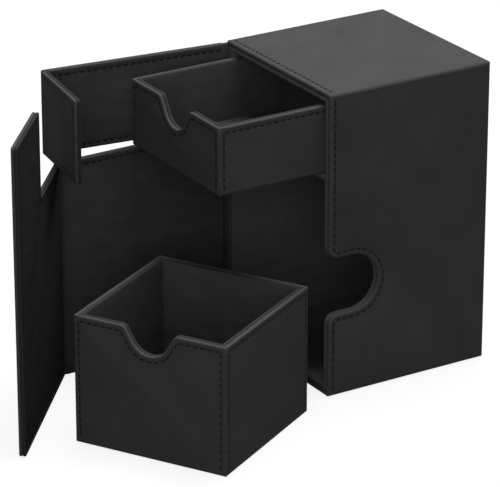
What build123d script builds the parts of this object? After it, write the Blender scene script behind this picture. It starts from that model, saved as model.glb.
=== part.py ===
from build123d import *
import math
import os

# A case open towards -Y with a drawer bay over a tray bay. All sizes are in millimetres.
# X runs across the opening, Y to the back and Z up. The origin is under the centre of the case base.

# Case
case_width = 90.0
case_depth = 88.5
case_height = 150.0
case_panel = 2.5
case_lining = 2.5
case_edge_radius = 1.8
case_seat_radius = 1.4
case_lip_radius = 1.1

# Shelf between the two bays
drawer_bay_height = 35.0
shelf_thickness = 3.5
shelf_lip_radius = 1.5

# Finger notch in the near wall
finger_notch_height = 55.3
finger_notch_angle = 90.0
finger_notch_radius = 14.0
finger_notch_depth = 27.2
finger_notch_shoulder = 5.5

# Drawer
drawer_side_clearance = 1.0
drawer_lift = 0.3
drawer_head_clearance = 2.0
drawer_back_clearance = 1.0
drawer_panel = 1.8
drawer_lining = 1.8
drawer_edge_radius = 1.2
drawer_seat_radius = 1.0
drawer_lip_radius = 0.75
drawer_pull = 55.3

# Deck tray, standing in front of the case
tray_side_clearance = 1.0
tray_depth = 78.5
tray_height = 63.0
tray_panel = 2.0
tray_lining = 2.0
tray_edge_radius = 1.2
tray_seat_radius = 1.0
tray_lip_radius = 0.8
tray_x = 38.2
tray_y = -113.6
tray_turn_angle = 30.0

# Notch in the fronts of the drawer and the tray
front_notch_depth = 12.4
front_notch_angle = 59.0
front_notch_base_radius = 10.0
front_notch_shoulder = 3.0

# Flaps
flap_layer = 1.6
flap_clearance = 0.25
flap_corner_radius = 1.6
flap_lip_radius = 0.65
flap_low_margin = 0.1
flap_high_margin = 1.1
flap_split_drop = 2.3
flap_split_gap = 0.4
hinge_inset = 0.9
hinge_gap = 2.0
fold_gap = 2.0
strip_thickness = 1.4
strip_seat_depth = 0.7

upper_flap_open_angle = 96.8
upper_flap_bend_angle = 88.4
upper_end_length = 43.2

lower_flap_open_angle = 89.2
lower_flap_bend_angle = 48.9
lower_end_back_gap = 0.1
lower_step_gap = 0.6

# Magnets in the flaps and the steel plates that they hold to
magnet_side = 12.0
magnet_thickness = 1.4
plate_thickness = 1.0
pocket_clearance = 0.1
magnet_end_distance = 10.0
lower_magnet_height = 60.0

# Sizes that follow from the ones above
case_wall = case_panel + case_lining
bay_width = case_width - 2 * case_wall
bay_depth = case_depth - case_wall
bay_ceiling = case_height - case_wall
shelf_top = bay_ceiling - drawer_bay_height
case_front = -case_depth / 2
drawer_width = bay_width - 2 * drawer_side_clearance
drawer_depth = bay_depth - drawer_back_clearance
drawer_bottom = shelf_top + drawer_lift
drawer_height = bay_ceiling - drawer_head_clearance - drawer_bottom
tray_width = bay_width - 2 * tray_side_clearance
flap_plane = flap_clearance + flap_layer
hinge_x = -case_width / 2 + hinge_inset
hinge_y = case_front - flap_plane
fold_reach = case_width / 2 + flap_plane - hinge_x
flap_split_height = shelf_top - flap_split_drop
flap_low = flap_low_margin
flap_high = case_height - flap_high_margin
upper_flap_low = flap_split_height + flap_split_gap / 2
lower_flap_high = flap_split_height - flap_split_gap / 2
lower_end_length = case_depth / 2 - lower_end_back_gap - hinge_y
lower_step = upper_end_length + lower_step_gap
upper_magnet_height = (upper_flap_low + flap_high) / 2
upper_magnet_reach = upper_end_length - magnet_end_distance
lower_magnet_reach = lower_end_length - magnet_end_distance

# Where the magnets are when the flaps are closed, as reach from the fold and height
upper_magnets = {"": (upper_magnet_reach, upper_magnet_height)}
lower_magnets = {
    "_high": (lower_magnet_reach, upper_magnet_height),
    "_low": (lower_magnet_reach, lower_magnet_height),
}

SITTING = (Align.CENTER, Align.CENTER, Align.MIN)
# A rim's rounding leaves a narrow flat along its crest
LIP_SHARE = 0.45
# Room that a cutter has beyond the wall that it passes through
CUT_ROOM = 1.0
# Lengths closer than this are the same
SAME = 0.01
SQUARE = 90.0


def notch_outline(depth, angle, base_radius, shoulder):
    """Half-plane outline of a notch: the rim is the local x axis and the notch lies below it."""
    turn = math.radians(angle)
    rise = base_radius - depth
    half = (base_radius - rise * math.cos(turn)) / math.sin(turn)
    edge = half + shoulder * math.tan(turn / 2)
    low = (base_radius * math.sin(turn), rise - base_radius * math.cos(turn))
    shoulder_end = (edge - shoulder * math.sin(turn), -shoulder * (1 - math.cos(turn)))
    shoulder_middle = (edge - shoulder * math.sin(turn / 2), -shoulder * (1 - math.cos(turn / 2)))

    def mirrored(point):
        return (-point[0], point[1])

    line = Line((-edge, CUT_ROOM), (edge, CUT_ROOM))
    line += Line((edge, CUT_ROOM), (edge, 0))
    line += ThreePointArc((edge, 0), shoulder_middle, shoulder_end)
    line += Line(shoulder_end, low)
    line += ThreePointArc(low, (0, -depth), mirrored(low))
    line += Line(mirrored(low), mirrored(shoulder_end))
    line += ThreePointArc(mirrored(shoulder_end), mirrored(shoulder_middle), (-edge, 0))
    line += Line((-edge, 0), (-edge, CUT_ROOM))
    return make_face(line)


def open_shell(width, depth, height, wall, edge_radius, seat_radius, lip_radius, notch, round_floor):
    """A box open at the top, standing on the origin, with rounded edges, a notch and a rounded rim.

    The notch is a cutter, how far it reaches below the rim, and the axis through its wall.
    """
    cutter, reach, through = notch
    block = Box(width, depth, height, align=SITTING)
    rounded = block.edges().filter_by(Axis.Z)
    if round_floor:
        rounded += block.edges().group_by(Axis.Z)[0]
    block = fillet(rounded, edge_radius)
    cavity = Box(width - 2 * wall, depth - 2 * wall, height, align=SITTING)
    cavity = fillet(cavity.edges().filter_by(Axis.Z), seat_radius)
    shell = block - Pos(0, 0, wall) * cavity - cutter

    seams = [e for e in shell.edges().filter_by(through) if e.length < wall + SAME]

    def on_rim(edge):
        return edge.bounding_box().min.Z > height - reach - CUT_ROOM and edge not in seams

    return fillet([e for e in shell.edges() if on_rim(e)], min(lip_radius, LIP_SHARE * wall))


def wedge(outer, inner):
    """The solid between two rectangles, given as (plane, width, height)."""
    faces = []
    for plane, width, height in (outer, inner):
        faces.append(plane * Rectangle(width, height))
    return loft(faces, ruled=True)


def mitred_boards(shell, width, depth, height, wall):
    """The five boards of an open box, cut apart along mitres: floor, far, near, front and back."""
    boards = {}
    sides = {
        "far": (Vector(-1, 0, 0), Vector(0, -1, 0), width, depth),
        "near": (Vector(1, 0, 0), Vector(0, 1, 0), width, depth),
        "front": (Vector(0, -1, 0), Vector(1, 0, 0), depth, width),
        "back": (Vector(0, 1, 0), Vector(-1, 0, 0), depth, width),
    }
    middle = Vector(0, 0, (height + wall) / 2)
    for name, (out, along, across, length) in sides.items():
        outer = Plane(origin=middle + out * (across / 2), x_dir=along, z_dir=out)
        inner = Plane(origin=middle + out * (across / 2 - wall), x_dir=along, z_dir=out)
        cut = wedge((outer, length, height + wall), (inner, length - 2 * wall, height - wall))
        boards[name] = shell & cut
    bottom = Plane.XY
    lid = Plane.XY.offset(wall)
    cut = wedge((bottom, width, depth), (lid, width - 2 * wall, depth - 2 * wall))
    boards["floor"] = shell & cut
    return boards


def lined_box(width, depth, height, panel, lining, edge_radius, seat_radius, lip_radius, notch):
    """The outer boards and the inner boards of an open box, each a set of five."""
    outer = open_shell(width, depth, height, panel, edge_radius, seat_radius, lip_radius, notch, True)
    in_width = width - 2 * panel
    in_depth = depth - 2 * panel
    in_height = height - panel
    cutter, reach, through = notch
    lowered = (Pos(0, 0, -panel) * cutter, reach, through)
    inner = open_shell(
        in_width, in_depth, in_height, lining, seat_radius, seat_radius, lip_radius, lowered, False
    )
    panels = mitred_boards(outer, width, depth, height, panel)
    linings = mitred_boards(inner, in_width, in_depth, in_height, lining)
    linings = {name: Pos(0, 0, panel) * board for name, board in linings.items()}
    return panels, linings


def front_notch(depth, height, wall):
    """The notch of a drawer or tray front, as the cutter and its reach and axis."""
    plane = Plane(origin=(0, -depth / 2 + wall / 2, height), x_dir=(1, 0, 0), z_dir=(0, -1, 0))
    outline = notch_outline(
        front_notch_depth, front_notch_angle, front_notch_base_radius, front_notch_shoulder
    )
    cutter = extrude(plane * outline, wall / 2 + CUT_ROOM, both=True)
    return cutter, front_notch_depth, Axis.Y


def pocket(thickness):
    """The space that a magnet or steel plate sits in, centred on the origin, thin along Y."""
    room = 2 * pocket_clearance
    return Box(magnet_side + room, thickness + room, magnet_side + room)


def make_case():
    """The case boards, the shelf and the steel plates in the near wall."""
    parts = {}
    plane = Plane(
        origin=(case_width / 2 - case_wall / 2, finger_notch_height - case_height / 2, case_depth),
        x_dir=(0, 1, 0),
        z_dir=(1, 0, 0),
    )
    outline = notch_outline(
        finger_notch_depth, finger_notch_angle, finger_notch_radius, finger_notch_shoulder
    )
    cutter = extrude(plane * outline, case_wall / 2 + CUT_ROOM, both=True)
    notch = (cutter, finger_notch_depth, Axis.X)
    panels, linings = lined_box(
        case_width, case_height, case_depth, case_panel, case_lining,
        case_edge_radius, case_seat_radius, case_lip_radius, notch,
    )
    # Laid on its back wall and open upwards, the box turns to stand with its opening towards -Y
    stand = Pos(0, case_depth / 2, case_height / 2) * Rot(SQUARE, 0, 0)
    names = {"floor": "back", "front": "base", "back": "top", "far": "far_side", "near": "near_side"}
    for name, label in names.items():
        parts[f"case_{label}_panel"] = stand * panels[name]
        parts[f"case_{label}_lining"] = stand * linings[name]

    shelf = Box(bay_width, bay_depth, shelf_thickness)
    front_edges = shelf.edges().filter_by(Axis.X).group_by(Axis.Y)[0]
    shelf = fillet(front_edges, min(shelf_lip_radius, LIP_SHARE * shelf_thickness))
    shelf_y = case_front + bay_depth / 2
    parts["drawer_shelf"] = Pos(0, shelf_y, shelf_top - shelf_thickness / 2) * shelf

    plate_x = case_width / 2 - case_panel + plate_thickness / 2 + pocket_clearance
    for flap, magnets in (("upper", upper_magnets), ("lower", lower_magnets)):
        for label, (reach, height) in magnets.items():
            spot = Pos(plate_x, hinge_y + reach, height) * Rot(0, 0, SQUARE)
            parts["case_near_side_panel"] -= spot * pocket(plate_thickness)
            plate = Box(magnet_side, plate_thickness, magnet_side)
            parts[f"case_{flap}{label}_plate"] = spot * plate
    return parts


def make_drawer():
    """The drawer boards, pulled part of the way out of the upper bay."""
    wall = drawer_panel + drawer_lining
    notch = front_notch(drawer_depth, drawer_height, wall)
    panels, linings = lined_box(
        drawer_width, drawer_depth, drawer_height, drawer_panel, drawer_lining,
        drawer_edge_radius, drawer_seat_radius, drawer_lip_radius, notch,
    )
    place = Pos(0, case_front - drawer_pull + drawer_depth / 2, drawer_bottom)
    return named_boards("drawer", place, panels, linings)


def make_tray():
    """The deck tray boards, turned and standing in front of the case."""
    wall = tray_panel + tray_lining
    notch = front_notch(tray_depth, tray_height, wall)
    panels, linings = lined_box(
        tray_width, tray_depth, tray_height, tray_panel, tray_lining,
        tray_edge_radius, tray_seat_radius, tray_lip_radius, notch,
    )
    place = Pos(tray_x, tray_y, 0) * Rot(0, 0, tray_turn_angle)
    return named_boards("tray", place, panels, linings)


def named_boards(box, place, panels, linings):
    """The boards of a drawer or tray in their places, under the names of their nodes."""
    parts = {}
    for name in panels:
        label = "base" if name == "floor" else name
        parts[f"{box}_{label}_panel"] = place * panels[name]
        parts[f"{box}_{name}_lining"] = place * linings[name]
    return parts


def flap_board(outline, soft_ends, side):
    """One board of a flap panel, with all edges rounded but those at its soft ends.

    The outline is in reach along the panel and height, and so are the soft ends. Side is -1 for the
    outer board and 1 for the inner one: they meet in the panel's middle plane.
    """
    board = extrude(Plane.XZ * outline, -side * flap_layer)

    def is_free(edge):
        box = edge.bounding_box()
        at_soft_end = any(abs(box.center().X - end) < SAME for end in soft_ends)
        return box.size.Y < SAME and not at_soft_end

    edges = [e for e in board.edges() if is_free(e)]
    return fillet(edges, min(flap_lip_radius, LIP_SHARE * flap_layer))


def front_outline(low, high):
    """A flap's front panel, between its hinge and its fold."""
    length = fold_reach - hinge_gap - fold_gap
    return Pos(hinge_gap + length / 2, (low + high) / 2) * Rectangle(length, high - low)


def end_outline(low, high, length, step):
    """A flap's end panel from the fold outwards. Past the step it reaches up to the case top."""
    points = [(fold_gap, low), (length, low)]
    if step:
        points += [(length, flap_high), (step, flap_high), (step, high)]
    else:
        points += [(length, high)]
    points += [(fold_gap, high)]
    outline = make_face(Polyline(*points, close=True))
    free = [v for v in outline.vertices() if v.X > fold_gap + flap_corner_radius]
    return fillet(free, flap_corner_radius)


def bent_strip(back, ahead, turn, low, high):
    """A soft strip bent about the origin: it comes from -X by back and leaves by ahead, turned."""
    section = Pos(-back / 2, 0) * Rectangle(back, strip_thickness)
    section += Circle(strip_thickness / 2)
    section += Rot(0, 0, turn) * Pos(ahead / 2, 0) * Rectangle(ahead, strip_thickness)
    return Pos(0, 0, low) * extrude(section, high - low)


def make_flap(name, opened, bend, low, high, length, step, magnets, wall_boards):
    """A flap: two boards for each of its two panels, the soft hinge and fold, and the magnets."""
    parts = {}
    at_hinge = Pos(hinge_x, hinge_y, 0)
    front = at_hinge * Rot(0, 0, -opened)
    end = front * Pos(fold_reach, 0, 0) * Rot(0, 0, bend)
    front_shape = front_outline(low, high)
    end_shape = end_outline(low, high, length, step)
    for side, layer in ((-1, "panel"), (1, "lining")):
        front_board = flap_board(front_shape, (hinge_gap, fold_reach - fold_gap), side)
        parts[f"{name}_front_{layer}"] = front * front_board
        end_board = flap_board(end_shape, (fold_gap,), side)
        for reach, height in magnets.values():
            end_board -= Pos(reach, 0, height) * pocket(magnet_thickness)
        parts[f"{name}_end_{layer}"] = end * end_board
    for label, (reach, height) in magnets.items():
        magnet = Box(magnet_side, magnet_thickness, magnet_side)
        parts[f"{name}{label}_magnet"] = end * Pos(reach, 0, height) * magnet

    from_wall = flap_plane + strip_seat_depth
    strip = bent_strip(from_wall, hinge_gap, SQUARE - opened, low, high)
    strip = at_hinge * Rot(0, 0, -SQUARE) * strip
    for board in wall_boards:
        strip -= board
    parts[f"{name}_hinge_strip"] = strip
    strip = bent_strip(fold_gap, fold_gap, bend, low, high)
    parts[f"{name}_fold_strip"] = front * Pos(fold_reach, 0, 0) * strip
    return parts


def make_all():
    """Every sub-part in its place, by the name of its node."""
    parts = make_case()
    parts.update(make_drawer())
    parts.update(make_tray())
    wall_boards = [parts[f"case_{wall}_panel"] for wall in ("far_side", "top", "base")]
    parts.update(make_flap(
        "upper_flap", upper_flap_open_angle, upper_flap_bend_angle, upper_flap_low, flap_high,
        upper_end_length, None, upper_magnets, wall_boards,
    ))
    parts.update(make_flap(
        "lower_flap", lower_flap_open_angle, lower_flap_bend_angle, flap_low, lower_flap_high,
        lower_end_length, lower_step, lower_magnets, wall_boards,
    ))
    return parts


os.makedirs("parts", exist_ok=True)
for node, solid in make_all().items():
    export_step(solid, f"parts/{node}.step")
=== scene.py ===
import math

import bpy
from mathutils import Matrix, Vector


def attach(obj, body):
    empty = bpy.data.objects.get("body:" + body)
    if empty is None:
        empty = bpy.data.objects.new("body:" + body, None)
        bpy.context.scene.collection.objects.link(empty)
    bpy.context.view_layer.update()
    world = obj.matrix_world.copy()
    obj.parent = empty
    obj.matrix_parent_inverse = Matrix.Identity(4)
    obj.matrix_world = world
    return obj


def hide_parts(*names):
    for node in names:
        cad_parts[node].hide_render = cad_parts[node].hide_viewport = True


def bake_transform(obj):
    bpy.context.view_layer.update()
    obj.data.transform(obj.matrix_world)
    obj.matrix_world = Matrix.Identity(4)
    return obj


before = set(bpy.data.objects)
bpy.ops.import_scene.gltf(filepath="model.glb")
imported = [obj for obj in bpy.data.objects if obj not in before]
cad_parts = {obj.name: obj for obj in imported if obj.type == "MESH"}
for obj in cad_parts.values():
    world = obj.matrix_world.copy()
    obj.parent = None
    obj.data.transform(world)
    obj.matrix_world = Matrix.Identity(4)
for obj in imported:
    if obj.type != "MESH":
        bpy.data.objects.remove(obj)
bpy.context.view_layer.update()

# Sizes of the solids, in millimetres
MM = 0.001
CASE_WIDTH, CASE_DEPTH, CASE_HEIGHT = 90.0, 88.5, 150.0
FINGER_NOTCH = {"at": 55.3, "depth": 27.2, "angle": 90.0, "radius": 14.0, "shoulder": 5.5}
FRONT_NOTCH = {"at": 0.0, "depth": 12.4, "angle": 59.0, "radius": 10.0, "shoulder": 3.0}
DRAWER_WIDTH, DRAWER_DEPTH, DRAWER_HEIGHT = 78.0, 82.5, 32.7
DRAWER_FRONT, DRAWER_BOTTOM = -99.55, 110.3
TRAY_WIDTH, TRAY_DEPTH, TRAY_HEIGHT = 78.0, 78.5, 63.0
TRAY_PLACE = (38.2, -113.6, 0.0)
TRAY_TURN = 30.0
FLAP_LAYER = 1.6
FLAP_LIP = 0.65
FLAP_CORNER = 1.6
HINGE = (-44.1, -46.1, 0.0)
HINGE_GAP, FOLD_GAP = 2.0, 2.0
FOLD_REACH = 90.95
FLAP_LOW, FLAP_HIGH = 0.1, 148.9
UPPER = {"open": 96.8, "bend": 88.4, "low": 107.9, "high": FLAP_HIGH, "length": 43.2, "step": None}
LOWER = {"open": 89.2, "bend": 48.9, "low": FLAP_LOW, "high": 107.5, "length": 90.25, "step": 43.8}
CASE_WALL = {"panel": 2.5, "lining": 2.5, "edge": 1.8, "lip": 1.1}
DRAWER_WALL = {"panel": 1.8, "lining": 1.8, "edge": 1.2, "lip": 0.75}
TRAY_WALL = {"panel": 2.0, "lining": 2.0, "edge": 1.2, "lip": 0.8}

# Stitching
STITCH_INSET = 2.7
STITCH_PITCH = 3.6
STITCH_LENGTH = 2.7
STITCH_HALF_WIDTH = 0.42
STITCH_HALF_HEIGHT = 0.2
STITCH_SLANT = math.radians(5)
STITCH_SIDES = 8
# Along a stitch: place as a share of its half length, swell, and sink as a share of its half height
STITCH_STATIONS = (
    (-1.0, 0.3, -0.9), (-0.86, 0.75, -0.35), (-0.4, 1.0, 0.0),
    (0.4, 1.0, 0.0), (0.86, 0.75, -0.35), (1.0, 0.3, -0.9),
)
BED_DEPTH = 0.16
# The bed that the stitches lie in, as distance from its middle in shares of its half width, and depth
BED_HALF = 0.8
BED = ((-1.0, 0.0), (-0.5, -0.5), (0.0, -1.0), (0.5, -0.5), (1.0, 0.0))

# How finely boards are divided, the spacing of a seat's rings and the angle that stays sharp
ARC_STEPS = 5
CORNER_STEPS = 6
NOTCH_STEPS = 14
SEAT_STEP = 0.2
SHARP_ANGLE = math.radians(40)
# Soft strips: the round of their ends, their room to the flap's ends and their least share of width,
# the fold's core and the bottom of its crease over its axis, and the hinge's half thickness,
# its way past the rim and where it starts to swell
BAND_EDGE = 0.5
BAND_STEPS = 3
BAND_TRIM = 0.05
BAND_LEAST = 0.2
FOLD_STEPS = 12
FOLD_CORE = 0.25
FOLD_VALLEY = 0.6
HINGE_STEPS = 14
HINGE_HALF = 0.7
HINGE_SEAT = 0.05
HINGE_SWELL = 0.55
# Leather grain: its period along the board and how far it leans, and the thread's ply pitch
GRAIN_PERIOD = 0.9
GRAIN_LEAN = 0.7
PLY_PITCH = 0.5
# Noise scales, on the flat pattern for skin and thread, and in the piece's own metres for cloth and metal
GRAIN_NOISE, CLOUD_NOISE, PATCH_NOISE = 2.6, 0.045, 0.35
CREASE_STRETCH = (1.6, 0.12, 1.0)
FUZZ_NOISE = 9.0
FIBRE_NOISE = 5200.0
NAP_STRETCH = (90.0, 90.0, 220.0)
SCRATCH_STRETCH = (4000.0, 4000.0, 160.0)
# How much of the rubbing reaches each kind of edge
EXPOSED = {"lip": 1.0, "plain": 1.0, "stitched": 0.25, "corner": 0.25}
# Edges keep their own height from this far off a square corner
CORNER_REACH = 6.0


def rise(start, end, steps):
    return [start + (end - start) * i / steps for i in range(steps + 1)]


def lip_profile(thickness, lip, edge):
    """Distance from the free edge and height over the face, from the board's back over its lip."""
    points = []
    for a in rise(0, math.pi / 2, ARC_STEPS):
        points.append((lip * (1 - math.sin(a)), -thickness + lip * (1 - math.cos(a))))
    angles = rise(0, math.pi / 2, ARC_STEPS)
    if edge:
        angles.append(math.asin(1 - mitre_depth(edge) / lip))
    for a in sorted(angles):
        points.append((lip * (1 - math.cos(a)), -lip * (1 - math.sin(a))))
    return points


def mitre_depth(edge):
    return edge * (1 - math.sqrt(0.5))


def mitre_distance(height, edge):
    """Distance from the corner line of a rounded corner that is cut along its mitre."""
    if height < -mitre_depth(edge) - 1e-9:
        return -height
    return edge - math.sqrt(max(0.0, edge ** 2 - (height + edge) ** 2))


def profiles(thickness, lip, edge):
    """All edge profiles of a board, with the same rings: (distance, height) for each ring."""
    over = lip_profile(thickness, lip, edge)
    bed = [(STITCH_INSET + x * BED_HALF, BED_DEPTH * y) for x, y in BED]
    kinds = {
        "lip": over + bed,
        "plain": over + [(x, 0.0) for x, _ in bed],
        "square": [(0.0, h) for _, h in over] + [(0.0, 0.0)] * len(bed),
        "seat": [(thickness + h, h) for _, h in over]
        + [(thickness + SEAT_STEP * (i + 1), 0.0) for i in range(len(bed))],
    }
    if edge:
        corner = [(mitre_distance(h, edge), h) for _, h in over]
        kinds["stitched"] = corner + bed
        kinds["corner"] = corner + [(x, 0.0) for x, _ in bed]
    return kinds


def middle_ring(kinds):
    return len(kinds["lip"]) - len(BED) + len(BED) // 2


def solve(n0, n1, d0, d1):
    """The point at distance d0 along n0 and d1 along n1."""
    det = n0[0] * n1[1] - n0[1] * n1[0]
    return ((d0 * n1[1] - d1 * n0[1]) / det, (n0[0] * d1 - n1[0] * d0) / det)


class Board:
    """A flat board: an outline with rounded corners, each edge with its profile, in its own plane."""

    def __init__(self, corners, edges, kinds, place):
        # corners: (u, v, radius, steps) anticlockwise; edges: the profile's name from each corner on
        self.corners = corners
        self.edges = edges
        self.kinds = kinds
        self.place = place
        self.count = len(corners)
        self.rings = len(kinds["lip"])
        self.along, self.inward, self.length = [], [], []
        for i in range(self.count):
            a, b = corners[i], corners[(i + 1) % self.count]
            dx, dy = b[0] - a[0], b[1] - a[1]
            length = math.hypot(dx, dy)
            self.length.append(length)
            self.along.append((dx / length, dy / length))
            self.inward.append((-dy / length, dx / length))

    def corner_points(self, i, ring):
        u, v, radius, steps = self.corners[i]
        d0, h0 = self.kinds[self.edges[i - 1]][ring]
        d1, h1 = self.kinds[self.edges[i]][ring]
        n0, n1 = self.inward[i - 1], self.inward[i]
        height = min(h0, h1)
        if not radius:
            x, y = solve(n0, n1, d0, d1)
            return [(u + x, v + y, height)]
        a0 = math.atan2(n0[1], n0[0])
        turn = math.atan2(n0[0] * n1[1] - n0[1] * n1[0], n0[0] * n1[0] + n0[1] * n1[1])
        sign = 1 if turn > 0 else -1
        x, y = solve(n0, n1, sign * radius, sign * radius)
        reach = radius - sign * d1
        if reach < 0:
            x, y = solve(n0, n1, d0, d1)
            return [(u + x, v + y, height)] * (steps + 1)
        points = []
        for a in rise(a0, a0 + turn, steps):
            points.append((
                u + x - sign * reach * math.cos(a), v + y - sign * reach * math.sin(a), height
            ))
        return points

    def edge_points(self, i, ring):
        """Points between the corners, so that a square corner's height stays near it."""
        d, h = self.kinds[self.edges[i]][ring]
        u, v = self.corners[i][:2]
        (ax, ay), (nx, ny) = self.along[i], self.inward[i]
        if self.length[i] < 3 * CORNER_REACH:
            return []
        points = []
        for at, corner in ((CORNER_REACH, i), (self.length[i] - CORNER_REACH, (i + 1) % self.count)):
            if not self.corners[corner][2]:
                points.append((u + ax * at + nx * d, v + ay * at + ny * d, h))
        return points

    def ring(self, ring):
        points = []
        for i in range(self.count):
            points += self.corner_points(i, ring) + self.edge_points(i, ring)
        return points

    def mesh_data(self):
        rings = [self.ring(k) for k in range(self.rings)]
        size = len(rings[0])
        faces = [[(0, j) for j in reversed(range(size))]]
        for k in range(self.rings - 1):
            for j in range(size):
                n = (j + 1) % size
                faces.append([(k, j), (k, n), (k + 1, n), (k + 1, j)])
        faces.append([(self.rings - 1, j) for j in range(size)])
        exposed = self.exposure()
        index, points, wear, out = {}, [], [], []
        for face in faces:
            loop = []
            for k, j in face:
                p = rings[k][j]
                key = tuple(round(c, 4) for c in p)
                if key not in index:
                    index[key] = len(points)
                    points.append(p)
                    wear.append(self.crest(k) * exposed[j])
                if not loop or index[key] != loop[-1]:
                    loop.append(index[key])
            if loop[0] == loop[-1]:
                loop.pop()
            if len(loop) > 2 and len(set(loop)) == len(loop):
                out.append(loop)
        return points, wear, out

    def exposure(self):
        """How much of the rubbing reaches each point of a ring: all on free edges, little at box corners."""
        shares = []
        for i in range(self.count):
            before, after = EXPOSED.get(self.edges[i - 1], 0.0), EXPOSED.get(self.edges[i], 0.0)
            shares += [max(before, after)] * len(self.corner_points(i, 0))
            shares += [after] * len(self.edge_points(i, 0))
        return shares

    def crest(self, ring):
        """How much a ring is rubbed: 1 on the round of the edge, 0 from where the face starts."""
        last = self.rings - len(BED) - 1
        return 1.0 if ring < last else 0.0

    def seams(self, stitched):
        """Runs of stitching along the named edges, as lists of (u, v), broken at square corners."""
        ring = middle_ring(self.kinds)
        runs, run = [], []
        start = next(i for i in range(self.count) if i not in stitched)
        for step in range(self.count + 1):
            i = (start + step) % self.count
            if i - 1 in stitched or (i == 0 and self.count - 1 in stitched):
                run += [p[:2] for p in self.corner_points(i, ring)]
                if self.corners[i][2] and i in stitched:
                    continue
                runs.append(run)
                run = []
            if i in stitched:
                run = [p[:2] for p in self.corner_points(i, ring)]
        return [r for r in runs if len(r) > 1]


def link(name, points, faces, body, material, uv, wear=None):
    """A piece from points in metres, riding on its body, with its flat pattern in millimetres as UVs."""
    mesh = bpy.data.meshes.new(name)
    mesh.from_pydata(points, [], faces)
    mesh.validate()
    mesh.shade_smooth()
    mesh.set_sharp_from_angle(angle=SHARP_ANGLE)
    layer = mesh.uv_layers.new(name="flat")
    for loop in mesh.loops:
        layer.data[loop.index].uv = uv[loop.vertex_index]
    rubbed = mesh.attributes.new("wear", "FLOAT", "POINT")
    if wear:
        rubbed.data.foreach_set("value", wear)
    mesh.materials.append(material)
    piece = bpy.data.objects.new(name, mesh)
    bpy.context.scene.collection.objects.link(piece)
    if body:
        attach(piece, body)
    return piece


def plane(origin, u, v):
    """The transform from a board's plane, with its height as the third axis, to the frame."""
    u, v = Vector(u), Vector(v)
    w = u.cross(v)
    return Matrix((
        (u.x, v.x, w.x, origin[0]), (u.y, v.y, w.y, origin[1]), (u.z, v.z, w.z, origin[2]), (0, 0, 0, 1)
    ))


threads = {}


def put_board(board, name, node, body, material, stitched):
    points, wear, faces = board.mesh_data()
    placed = [(board.place @ Vector(p)) * MM for p in points]
    piece = link(name, placed, faces, body, material, [(p[0], p[1]) for p in points], wear)
    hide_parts(node)
    if stitched:
        for run in board.seams(stitched):
            threads.setdefault(body, []).append((run, board.place))
    return piece


def notch_corners(notch, top):
    """The corners of a notch in a top edge, from right to left."""
    turn = math.radians(notch["angle"])
    radius, shoulder, depth = notch["radius"], notch["shoulder"], notch["depth"]
    half = (radius - (radius - depth) * math.cos(turn)) / math.sin(turn)
    at = notch["at"]
    if notch["angle"] == 90.0:
        low = [(half, -depth), (-half, -depth)]
    else:
        low = [(0.0, -half * math.tan(turn))]
    corners = [(at + half, top, shoulder, CORNER_STEPS)]
    corners += [(at + x, top + y, radius, NOTCH_STEPS) for x, y in low]
    corners += [(at - half, top, shoulder, CORNER_STEPS)]
    return corners


def rectangle(left, low, right, high):
    """The square corners of a plain board, anticlockwise from the lower left."""
    return [(left, low, 0, 0), (right, low, 0, 0), (right, high, 0, 0), (left, high, 0, 0)]


def wall_outline(length, low, top, notch):
    """A wall's corners, anticlockwise from the lower left, and the numbers of its rim edges."""
    corners = [(-length / 2, low, 0, 0), (length / 2, low, 0, 0), (length / 2, top, 0, 0)]
    if notch:
        corners += notch_corners(notch, top)
    corners += [(-length / 2, top, 0, 0)]
    return corners, list(range(2, len(corners) - 1))


X, Y, Z = Vector((1, 0, 0)), Vector((0, 1, 0)), Vector((0, 0, 1))
# Each wall of a box seen from outside: its outward direction and its direction to the right
WALLS = {"front": (-Y, X), "near": (X, Y), "back": (Y, -X), "far": (-X, -Y)}


def dress_box(names, size, wall, place, notches, side, body, inside, plain_rims=()):
    """The covers and linings of an open box, standing on the origin of its own frame."""
    width, depth, height = size
    outer_kinds = profiles(wall["panel"], wall["lip"], wall["edge"])
    inner_kinds = profiles(wall["lining"], wall["lip"], None)
    both = wall["panel"] + wall["lining"]
    for key, (out, right) in WALLS.items():
        across, length = (width, depth) if key in ("near", "far") else (depth, width)
        notch = notches.get(key)
        corners, rim = wall_outline(length, 0.0, height, notch)
        rim_kind = "plain" if key in plain_rims else "lip"
        edges = ["corner", side] + [rim_kind] * len(rim) + [side]
        stitched = list(rim) if rim_kind == "lip" else []
        if side == "stitched":
            stitched += [1, len(corners) - 1]
        label = names[key]
        board = Board(corners, edges, outer_kinds, place @ plane(out * (across / 2), right, Z))
        put_board(board, label + "_cover", label + "_panel", body, leather, stitched)

        mirrored = dict(notch, at=-notch["at"]) if notch else None
        corners, rim = wall_outline(length - 2 * wall["panel"], wall["panel"], height, mirrored)
        edges = ["seat", "seat"] + ["plain"] * len(rim) + ["seat"]
        board = Board(corners, edges, inner_kinds, place @ plane(out * (across / 2 - both), -right, Z))
        put_board(board, label + "_inner", label + "_lining", body, inside, None)

    half_x, half_y = width / 2, depth / 2
    corners = rectangle(-half_x, -half_y, half_x, half_y)
    board = Board(corners, ["corner"] * 4, outer_kinds, place @ plane((0, 0, 0), X, -Y))
    put_board(board, names["base"] + "_cover", names["base"] + "_panel", body, leather, None)
    half_x, half_y = half_x - wall["panel"], half_y - wall["panel"]
    corners = rectangle(-half_x, -half_y, half_x, half_y)
    board = Board(corners, ["seat"] * 4, inner_kinds, place @ plane((0, 0, both), X, Y))
    put_board(board, names["floor"] + "_inner", names["floor"] + "_lining", body, inside, None)


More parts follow.
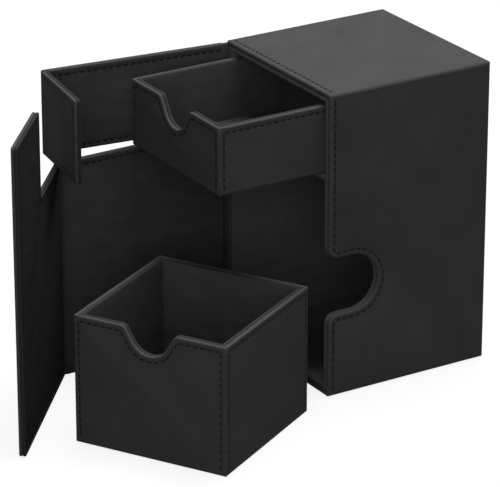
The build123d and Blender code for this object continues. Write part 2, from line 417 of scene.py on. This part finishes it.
def dress_flap(name, flap):
    kinds = profiles(FLAP_LAYER, FLAP_LIP, None)
    front = Matrix.Translation(HINGE) @ Matrix.Rotation(math.radians(-flap["open"]), 4, "Z")
    end = front @ Matrix.Translation((FOLD_REACH, 0, 0)) @ Matrix.Rotation(math.radians(flap["bend"]), 4, "Z")
    low, high = flap["low"], flap["high"]
    front_start, front_end = HINGE_GAP, FOLD_REACH - FOLD_GAP
    front_corners = rectangle(front_start, low, front_end, high)
    front_edges = ["lip", "square", "lip", "square"]
    round_ = (FLAP_CORNER, CORNER_STEPS)
    end_corners = [(FOLD_GAP, low, 0, 0), (flap["length"], low, *round_)]
    if flap["step"]:
        end_corners += [(flap["length"], FLAP_HIGH, *round_), (flap["step"], FLAP_HIGH, *round_)]
        end_corners += [(flap["step"], high, *round_)]
    else:
        end_corners += [(flap["length"], high, *round_)]
    end_corners += [(FOLD_GAP, high, 0, 0)]
    end_edges = ["lip"] * (len(end_corners) - 1) + ["square"]
    # The flaps' insides take the darker copies of the microfibre, painted shade
    for part, place, corners, edges, inside in (
        ("front", front, front_corners, front_edges, shaded_flap_lining),
        ("end", end, end_corners, end_edges, shaded_end_lining),
    ):
        stitched = [i for i, e in enumerate(edges) if e == "lip"]
        node = f"{name}_{part}"
        outer = place @ plane((0, -FLAP_LAYER, 0), X, Z)
        cover = Board(corners, edges, kinds, outer)
        put_board(cover, node + "_cover", node + "_panel", node, leather, stitched)
        back = [(-u, v, r, s) for u, v, r, s in reversed(corners)]
        # turned over, each edge starts at its other corner
        turned = [edges[i] for i in range(len(edges) - 2, -1, -1)] + [edges[-1]]
        over = [i for i, e in enumerate(turned) if e == "lip"]
        inner = place @ plane((0, FLAP_LAYER, 0), -X, Z)
        liner = Board(back, turned, kinds, inner)
        put_board(liner, node + "_inner", node + "_lining", node, inside, over)


def stitch_shape():
    """One stitch along X: rings of points that rise out of one needle hole and sink into the next."""
    sides = STITCH_SIDES
    points, uv = [], []
    for x, swell, sink in STITCH_STATIONS:
        for j in range(sides):
            a = 2 * math.pi * j / sides
            uv.append((x * STITCH_LENGTH / 2, STITCH_HALF_WIDTH * a))
            points.append((
                x * STITCH_LENGTH / 2,
                swell * STITCH_HALF_WIDTH * math.cos(a),
                STITCH_HALF_HEIGHT * (swell * math.sin(a) + sink),
            ))
    faces = [list(range(sides))[::-1], [len(points) - sides + j for j in range(sides)]]
    for i in range(len(STITCH_STATIONS) - 1):
        for j in range(sides):
            n = (j + 1) % sides
            faces.append([i * sides + j, i * sides + n, (i + 1) * sides + n, (i + 1) * sides + j])
    return points, [f[::-1] for f in faces], uv


def spaced(run):
    """Places and directions of the stitches along a run."""
    lengths = [0.0]
    for a, b in zip(run, run[1:]):
        lengths.append(lengths[-1] + math.dist(a, b))
    total = lengths[-1]
    count = max(1, round(total / STITCH_PITCH))
    places = []
    for k in range(count):
        at = total * (k + 0.5) / count
        i = max(j for j in range(len(run) - 1) if lengths[j] <= at)
        share = (at - lengths[i]) / max(1e-9, lengths[i + 1] - lengths[i])
        (ax, ay), (bx, by) = run[i], run[i + 1]
        places.append((ax + (bx - ax) * share, ay + (by - ay) * share, math.atan2(by - ay, bx - ax)))
    return places


def sew():
    shape, shape_faces, shape_uv = stitch_shape()
    height = STITCH_HALF_HEIGHT - BED_DEPTH
    for body, runs in threads.items():
        points, faces, uv = [], [], []
        for run, place in runs:
            for u, v, angle in spaced(run):
                spot = place @ Matrix.Translation((u, v, height))
                spot = spot @ Matrix.Rotation(angle + STITCH_SLANT, 4, "Z")
                first = len(points)
                points += [(spot @ Vector(p)) * MM for p in shape]
                uv += shape_uv
                faces += [[first + i for i in f] for f in shape_faces]
        link(body + "_stitching", points, faces, body, thread, uv)


def soft_band(name, node, sides, heights, material):
    """A soft strip with round ends between two boards, from its two sides in plan."""
    first, second = sides
    loop = first + second[::-1]
    centres = [(a + b) / 2 for a, b in zip(first, second)]
    centres += centres[::-1]
    along = [0.0]
    for a, b in zip(loop, loop[1:]):
        along.append(along[-1] + (b - a).length)
    low, high = heights
    quarter = rise(0, math.pi / 2, BAND_STEPS)
    rows = [(low + BAND_EDGE * (1 - math.cos(a)), BAND_EDGE * (1 - math.sin(a))) for a in quarter]
    rows += [(low + high - z, inset) for z, inset in reversed(rows)]
    points, uv, faces = [], [], []
    for z, inset in rows:
        for p, c, s in zip(loop, centres, along):
            q = c + (p - c) * max(BAND_LEAST, 1 - inset / (p - c).length)
            points.append((q.x * MM, q.y * MM, z * MM))
            uv.append((s, z))
    size = len(loop)
    for i in range(len(rows) - 1):
        for j in range(size):
            n = (j + 1) % size
            faces.append([i * size + j, i * size + n, (i + 1) * size + n, (i + 1) * size + j])
    top = (len(rows) - 1) * size
    for j in range(size // 2 - 1):
        faces.append([j, size - 1 - j, size - 2 - j, j + 1])
        faces.append([top + j, top + j + 1, top + size - 2 - j, top + size - 1 - j])
    piece = link(name, points, faces, None, material, uv)
    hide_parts(node)
    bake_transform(piece)
    return piece


def fold_bands(name, flap):
    """The soft skin outside a flap's fold, round about its axis, and the creased lining inside it."""
    bend = math.radians(flap["bend"])
    half = bend / 2
    front = Matrix.Translation(HINGE) @ Matrix.Rotation(math.radians(-flap["open"]), 4, "Z")
    axis = front @ Matrix.Translation((FOLD_REACH, 0, 0))
    end = Matrix.Rotation(bend, 4, "Z")
    middle = Matrix.Rotation(half, 4, "Z")

    def rounded(radius):
        arc = [Matrix.Rotation(a, 4, "Z") @ Vector((0, -radius, 0)) for a in rise(0, bend, FOLD_STEPS)]
        first, last = Vector((-FOLD_GAP, -radius, 0)), end @ Vector((FOLD_GAP, -radius, 0))
        return [axis @ p for p in [first] + arc + [last]]

    def reach(length):
        return axis @ middle @ Vector((-length, 0, 0)), axis @ middle @ Vector((length, 0, 0))

    heights = (flap["low"] + BAND_TRIM, flap["high"] - BAND_TRIM)
    node = name + "_fold_strip"
    outer, core = rounded(FLAP_LAYER), rounded(FOLD_CORE)
    soft_band(name + "_fold_skin", node, (outer, core), heights, soft_skin)

    begin, finish = Vector((-FOLD_GAP, FLAP_LAYER, 0)), end @ Vector((FOLD_GAP, FLAP_LAYER, 0))
    valley = middle @ Vector((0, FOLD_VALLEY, 0))
    pull = 2 * valley - (begin + finish) / 2
    crease = []
    for t in rise(0, 1, len(core) - 1):
        crease.append(axis @ (begin * (1 - t) ** 2 + pull * 2 * t * (1 - t) + finish * t ** 2))
    # The fold's lining takes the darker copy of the microfibre, painted shade
    soft_band(name + "_fold_lining", node, (core, crease), heights, shaded_flap_lining)


def hinge_band(name, flap):
    """The soft hinge from the rim of the case's far wall to the flap's front panel."""
    turn = math.radians(90 - flap["open"])
    straight = FLAP_LAYER + HINGE_SEAT
    reach = straight + HINGE_GAP
    at = Matrix.Translation(HINGE) @ Matrix.Rotation(math.radians(-90), 4, "Z")
    sides = [], []
    for share in rise(0, 1, HINGE_STEPS):
        s = reach * share - straight
        spot = at @ Matrix.Rotation(turn if s > 0 else 0, 4, "Z") @ Matrix.Translation((s, 0, 0))
        grow = max(0.0, (share - HINGE_SWELL) / (1 - HINGE_SWELL))
        half = HINGE_HALF + (FLAP_LAYER - HINGE_HALF) * grow ** 2 * (3 - 2 * grow)
        sides[0].append(spot @ Vector((0, -half, 0)))
        sides[1].append(spot @ Vector((0, half, 0)))
    heights = (flap["low"] + BAND_TRIM, flap["high"] - BAND_TRIM)
    strip = name + "_hinge_strip"
    soft_band(name + "_hinge_skin", strip, sides, heights, soft_skin)


def new_material(name):
    material = bpy.data.materials.new(name)
    material.use_nodes = True
    return material, material.node_tree, material.node_tree.nodes["Principled BSDF"]


def shader_node(tree, kind, inputs=None, **settings):
    """A shader node with its settings, each input a number or another node's output."""
    made = tree.nodes.new("ShaderNode" + kind)
    for key, value in settings.items():
        setattr(made, key, value)
    for key, value in (inputs or {}).items():
        if isinstance(value, bpy.types.NodeSocket):
            tree.links.new(value, made.inputs[key])
        else:
            made.inputs[key].default_value = value
    return made


def math_node(tree, operation, *values):
    return shader_node(tree, "Math", dict(enumerate(values)), operation=operation).outputs[0]


def between(tree, value, low, high, new_low, new_high):
    inputs = {"Value": value, "From Min": low, "From Max": high, "To Min": new_low, "To Max": new_high}
    return shader_node(tree, "MapRange", inputs).outputs["Result"]


def noise(tree, vector, scale, detail=2.0):
    inputs = {"Vector": vector, "Scale": scale, "Detail": detail}
    return shader_node(tree, "TexNoise", inputs).outputs["Fac"]


def mix_colour(tree, share, first, second):
    mixed = shader_node(tree, "Mix", {"Factor": share}, data_type="RGBA")
    for key, value in ((6, first), (7, second)):
        if isinstance(value, bpy.types.NodeSocket):
            tree.links.new(value, mixed.inputs[key])
        else:
            mixed.inputs[key].default_value = (*value, 1)
    return mixed.outputs[2]


def bump(tree, shader, height, distance, strength):
    inputs = {"Height": height, "Distance": distance * MM, "Strength": strength}
    tree.links.new(shader_node(tree, "Bump", inputs).outputs["Normal"], shader.inputs["Normal"])


def leather_material(name, dark, light, rubbed, roughness, specular, creased=False):
    """Matt black skin with a fine crossed grain, cloudy colour and rubbed edges, on the flat pattern."""
    material, tree, shader = new_material(name)
    flat = shader_node(tree, "UVMap", uv_map="flat").outputs["UV"]
    parts = shader_node(tree, "SeparateXYZ", {"Vector": flat})
    across, up = parts.outputs["X"], math_node(tree, "MULTIPLY", parts.outputs["Y"], GRAIN_LEAN)
    waves = []
    for operation in ("ADD", "SUBTRACT"):
        slant = math_node(tree, operation, across, up)
        phase = math_node(tree, "MULTIPLY", slant, 2 * math.pi / GRAIN_PERIOD)
        waves.append(math_node(tree, "SINE", phase))
    crossed = math_node(tree, "MULTIPLY", *waves)
    fine = noise(tree, flat, GRAIN_NOISE, 3.0)
    height = math_node(tree, "ADD", math_node(tree, "MULTIPLY", crossed, 0.35), fine)
    if creased:
        stretched = shader_node(tree, "Mapping", {"Vector": flat, "Scale": CREASE_STRETCH}).outputs["Vector"]
        height = math_node(tree, "ADD", height, math_node(tree, "MULTIPLY", noise(tree, stretched, 1.0), 3.0))
    bump(tree, shader, height, 0.06, 0.45)

    cloud = between(tree, noise(tree, flat, CLOUD_NOISE, 4.0), 0.35, 0.65, 0.0, 1.0)
    grain = between(tree, height, 0.1, 0.95, 0.0, 1.0)
    clouded = math_node(tree, "MULTIPLY", cloud, 0.45)
    share = math_node(tree, "ADD", clouded, math_node(tree, "MULTIPLY", grain, 0.55))
    wear = shader_node(tree, "Attribute", attribute_name="wear").outputs["Fac"]
    patchy = between(tree, noise(tree, flat, PATCH_NOISE, 3.0), 0.3, 0.7, 0.35, 1.0)
    worn = math_node(tree, "MULTIPLY", wear, patchy)
    colour = mix_colour(tree, worn, mix_colour(tree, share, dark, light), rubbed)
    tree.links.new(colour, shader.inputs["Base Color"])
    rough = between(tree, fine, 0.3, 0.7, roughness - 0.06, roughness + 0.06)
    smoothed = math_node(tree, "SUBTRACT", rough, math_node(tree, "MULTIPLY", worn, 0.1))
    tree.links.new(smoothed, shader.inputs["Roughness"])
    shader.inputs["Specular IOR Level"].default_value = specular
    return material


def lining_material(name, dark, light, turned):
    """Short-napped black microfibre, brushed lighter in places, with its own tone where it turns over."""
    material, tree, shader = new_material(name)
    place = shader_node(tree, "TexCoord").outputs["Object"]
    fibres = noise(tree, place, FIBRE_NOISE, 4.0)
    combed = shader_node(tree, "Mapping", {"Vector": place, "Scale": NAP_STRETCH}).outputs["Vector"]
    brushed = noise(tree, combed, 1.0, 3.0)
    nap = between(tree, brushed, 0.3, 0.7, 0.0, 0.6)
    share = math_node(tree, "ADD", nap, between(tree, fibres, 0.3, 0.7, 0.0, 0.4))
    wear = shader_node(tree, "Attribute", attribute_name="wear").outputs["Fac"]
    colour = mix_colour(tree, wear, mix_colour(tree, share, dark, light), turned)
    tree.links.new(colour, shader.inputs["Base Color"])
    tree.links.new(between(tree, fibres, 0.3, 0.7, 0.82, 0.98), shader.inputs["Roughness"])
    bump(tree, shader, fibres, 0.05, 0.5)
    shader.inputs["Specular IOR Level"].default_value = 0.0
    return material


def thread_material(name, dark, light):
    """Twisted thread: slanting plies across each stitch."""
    material, tree, shader = new_material(name)
    flat = shader_node(tree, "UVMap", uv_map="flat").outputs["UV"]
    parts = shader_node(tree, "SeparateXYZ", {"Vector": flat})
    slant = math_node(tree, "ADD", parts.outputs["X"], parts.outputs["Y"])
    plies = math_node(tree, "SINE", math_node(tree, "MULTIPLY", slant, 2 * math.pi / PLY_PITCH))
    fuzz = noise(tree, flat, FUZZ_NOISE)
    height = math_node(tree, "ADD", plies, fuzz)
    colour = mix_colour(tree, between(tree, height, -1.0, 2.0, 0.0, 1.0), dark, light)
    tree.links.new(colour, shader.inputs["Base Color"])
    tree.links.new(between(tree, fuzz, 0.3, 0.7, 0.7, 0.9), shader.inputs["Roughness"])
    bump(tree, shader, height, 0.05, 0.6)
    shader.inputs["Specular IOR Level"].default_value = 0.1
    return material


def steel_material(name, dark, light, roughness):
    """Brushed metal, with its scratches along the piece's height."""
    material, tree, shader = new_material(name)
    place = shader_node(tree, "TexCoord").outputs["Object"]
    drawn = shader_node(tree, "Mapping", {"Vector": place, "Scale": SCRATCH_STRETCH}).outputs["Vector"]
    scratches = noise(tree, drawn, 1.0, 4.0)
    tree.links.new(mix_colour(tree, scratches, dark, light), shader.inputs["Base Color"])
    rough = between(tree, scratches, 0.3, 0.7, roughness - 0.08, roughness + 0.08)
    tree.links.new(rough, shader.inputs["Roughness"])
    bump(tree, shader, scratches, 0.02, 0.3)
    shader.inputs["Metallic"].default_value = 1.0
    return material


leather = leather_material(
    "leather", (0.043, 0.043, 0.044), (0.058, 0.058, 0.059), (0.060, 0.060, 0.061), 0.70, 0.008
)
soft_skin = leather_material(
    "soft_skin", (0.032, 0.032, 0.033), (0.046, 0.046, 0.047), (0.060, 0.060, 0.061), 0.75, 0.008,
    creased=True,
)
lining = lining_material("microfibre", (0.050, 0.050, 0.049), (0.068, 0.067, 0.066), (0.034, 0.034, 0.034))
# Copies of the one microfibre with painted light and shade: lighter in the bay, as painted light where the
# bay lies in shade, and darker on the flaps, most of all on their end panels, as painted shade; set to match
# the tones seen there
lit_bay_lining = lining_material(
    "bay_microfibre_painted_light", (0.076, 0.076, 0.075), (0.102, 0.101, 0.099), (0.070, 0.070, 0.070)
)
# Painted shade: a darker copy of the microfibre for the flaps' insides and folds
shaded_flap_lining = lining_material(
    "flap_microfibre_painted_shade", (0.036, 0.036, 0.036), (0.053, 0.053, 0.052), (0.045, 0.045, 0.045)
)
# Painted shade: a still darker copy of the microfibre for the flaps' end panels
shaded_end_lining = lining_material(
    "end_microfibre_painted_shade", (0.021, 0.021, 0.021), (0.031, 0.031, 0.030), (0.031, 0.031, 0.031)
)
thread = thread_material("thread", (0.004, 0.004, 0.004), (0.013, 0.013, 0.013))
plate_steel = steel_material("plate_steel", (0.42, 0.42, 0.43), (0.58, 0.58, 0.60), 0.38)
nickel = steel_material("nickel", (0.56, 0.55, 0.54), (0.70, 0.69, 0.67), 0.25)


case_place = Matrix.Translation((0, CASE_DEPTH / 2, CASE_HEIGHT / 2))
case_place = case_place @ Matrix.Rotation(math.radians(90), 4, "X")
case_names = {
    "front": "case_base", "back": "case_top", "near": "case_near_side", "far": "case_far_side",
    "base": "case_back", "floor": "case_back",
}
finger = dict(FINGER_NOTCH, at=FINGER_NOTCH["at"] - CASE_HEIGHT / 2)
# The case's bay is lined with the lighter copy of the microfibre, its painted light
dress_box(
    case_names, (CASE_WIDTH, CASE_HEIGHT, CASE_DEPTH), CASE_WALL, case_place,
    {"near": finger}, "corner", "case", lit_bay_lining, ("front",),
)


def box_names(box):
    names = {key: f"{box}_{key}" for key in WALLS}
    return dict(names, base=box + "_base", floor=box + "_floor")


drawer_place = Matrix.Translation((0, DRAWER_FRONT + DRAWER_DEPTH / 2, DRAWER_BOTTOM))
dress_box(
    box_names("drawer"), (DRAWER_WIDTH, DRAWER_DEPTH, DRAWER_HEIGHT), DRAWER_WALL, drawer_place,
    {"front": FRONT_NOTCH}, "stitched", "drawer", lining,
)
tray_place = Matrix.Translation(TRAY_PLACE) @ Matrix.Rotation(math.radians(TRAY_TURN), 4, "Z")
dress_box(
    box_names("tray"), (TRAY_WIDTH, TRAY_DEPTH, TRAY_HEIGHT), TRAY_WALL, tray_place,
    {"front": FRONT_NOTCH}, "stitched", "deck_tray", lining,
)
for node_name, node_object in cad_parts.items():
    if node_name == "drawer_shelf":
        # The shelf takes the bay's lighter copy of the microfibre, with its painted light
        shown = lit_bay_lining
    elif node_name.endswith("_plate"):
        shown = plate_steel
    elif node_name.endswith("_magnet"):
        shown = nickel
    else:
        continue
    node_object.data.materials.clear()
    node_object.data.materials.append(shown)
for flap_name, flap_sizes in (("upper_flap", UPPER), ("lower_flap", LOWER)):
    dress_flap(flap_name, flap_sizes)
    fold_bands(flap_name, flap_sizes)
    hinge_band(flap_name, flap_sizes)
sew()


# Camera, in metres and degrees
CAMERA_PLACE = (1.2659, -0.8419, 0.6830)
CAMERA_AZIMUTH, CAMERA_ELEVATION = 58.27, 22.54
CAMERA_LENS, CAMERA_SENSOR = 248.4, 36.0
CAMERA_CLIP = (0.05, 20.0)
# Light in metres and watts: a wide box overhead and a weak one beside the camera, in a dim room
ROOM_LIGHT = 0.145
FLOOR_GLOW = 0.85
FLOOR_BOUNCE = 0.12
FLOOR_SIZE = 8.0
FLOOR_DROP = 0.0002
LIGHT_TARGET = Vector((0.02, -0.06, 0.08))


def add_camera():
    data = bpy.data.cameras.new("camera")
    data.sensor_fit = "HORIZONTAL"
    data.sensor_width = CAMERA_SENSOR
    data.lens = CAMERA_LENS
    data.clip_start, data.clip_end = CAMERA_CLIP
    camera = bpy.data.objects.new("camera", data)
    bpy.context.scene.collection.objects.link(camera)
    azimuth = math.radians(CAMERA_AZIMUTH)
    elevation = math.radians(CAMERA_ELEVATION)
    back = Vector((
        math.sin(azimuth) * math.cos(elevation),
        -math.cos(azimuth) * math.cos(elevation),
        math.sin(elevation),
    ))
    right = Vector((math.cos(azimuth), math.sin(azimuth), 0.0))
    up = back.cross(right)
    camera.matrix_world = Matrix((
        (right.x, up.x, back.x, CAMERA_PLACE[0]),
        (right.y, up.y, back.y, CAMERA_PLACE[1]),
        (right.z, up.z, back.z, CAMERA_PLACE[2]),
        (0, 0, 0, 1),
    ))
    bpy.context.scene.camera = camera


add_camera()
scene = bpy.context.scene
scene.view_settings.view_transform = "Standard"


def seen_or_mirrored(tree):
    """1 for rays from the camera, reflections and glass, 0 for the light that falls on things."""
    path = shader_node(tree, "LightPath").outputs
    both = math_node(tree, "MAXIMUM", path["Is Camera Ray"], path["Is Glossy Ray"])
    return math_node(tree, "MAXIMUM", both, path["Is Transmission Ray"])


def add_world():
    world = bpy.data.worlds.new("studio")
    scene.world = world
    world.use_nodes = True
    tree = world.node_tree
    background = tree.nodes["Background"]
    background.inputs["Color"].default_value = (1, 1, 1, 1)
    strength = math_node(tree, "MULTIPLY_ADD", seen_or_mirrored(tree), 1 - ROOM_LIGHT, ROOM_LIGHT)
    tree.links.new(strength, background.inputs["Strength"])


def add_floor():
    material, tree, shader = new_material("floor")
    tree.nodes.remove(shader)
    seen = seen_or_mirrored(tree)
    grey = between(tree, seen, 0.0, 1.0, FLOOR_BOUNCE, 0.9)
    paper = shader_node(tree, "BsdfDiffuse", {"Color": grey}).outputs["BSDF"]
    glow = shader_node(tree, "Emission", {"Color": (1, 1, 1, 1), "Strength": 1.0}).outputs["Emission"]
    share = math_node(tree, "MULTIPLY", seen, FLOOR_GLOW)
    mixed = shader_node(tree, "MixShader", {0: share, 1: paper, 2: glow}).outputs["Shader"]
    tree.links.new(mixed, tree.nodes["Material Output"].inputs["Surface"])
    half = FLOOR_SIZE / 2
    mesh = bpy.data.meshes.new("floor")
    sheet = [(-half, -half, 0), (half, -half, 0), (half, half, 0), (-half, half, 0)]
    mesh.from_pydata(sheet, [], [[0, 1, 2, 3]])
    mesh.materials.append(material)
    floor = bpy.data.objects.new("floor", mesh)
    floor.location.z = -FLOOR_DROP
    scene.collection.objects.link(floor)


def add_softbox(name, place, size, watts):
    """A square soft light that faces the middle of the object."""
    data = bpy.data.lights.new(name, "AREA")
    data.size = size
    data.energy = watts
    light = bpy.data.objects.new(name, data)
    light.location = place
    light.rotation_euler = (LIGHT_TARGET - Vector(place)).to_track_quat("-Z", "Y").to_euler()
    scene.collection.objects.link(light)


add_world()
add_floor()
add_softbox("overhead_box", (-0.04, 0.13, 1.3), 0.9, 26.0)
add_softbox("camera_box", (1.1, -0.9, 0.6), 1.0, 6.9)
